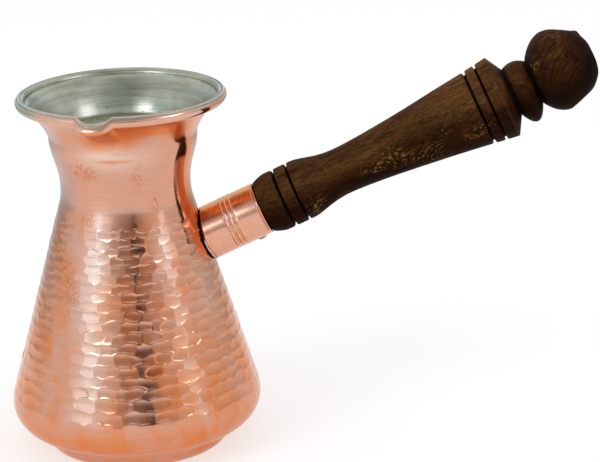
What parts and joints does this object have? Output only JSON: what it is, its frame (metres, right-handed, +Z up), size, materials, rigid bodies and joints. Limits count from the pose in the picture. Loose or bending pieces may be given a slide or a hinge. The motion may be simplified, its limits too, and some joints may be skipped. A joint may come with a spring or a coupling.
{
  "type": "coffee pot",
  "caption": "Hammered copper coffee pot with a drawn-in neck, a flared rolled rim with a pour lip, a tinned inside and a long turned wooden side handle.",
  "frame": {"origin": "centre of the flat base, on the surface that the pot stands on", "axes": "+Z up along the pot's axis, +X towards the handle, the pour lip on the -Y side"},
  "size_m": [0.2232, 0.0938, 0.1516],
  "materials": {
    "copper": "hammered bright copper, smooth on the neck and foot",
    "tin": "wiped tin, dull silver with faint turning marks",
    "ferrule_copper": "smooth bright copper",
    "solder": "dull silvery solder",
    "wood": "dark stained walnut, open grain, thin satin finish",
    "brad_steel": "plain steel"
  },
  "bodies": {
    "root": {"body": "copper", "tin_lining": "tin", "handle_ferrule": "ferrule_copper", "solder_seam": "solder", "wood_handle": "wood", "handle_brad": "brad_steel"}
  },
  "joints": []
}
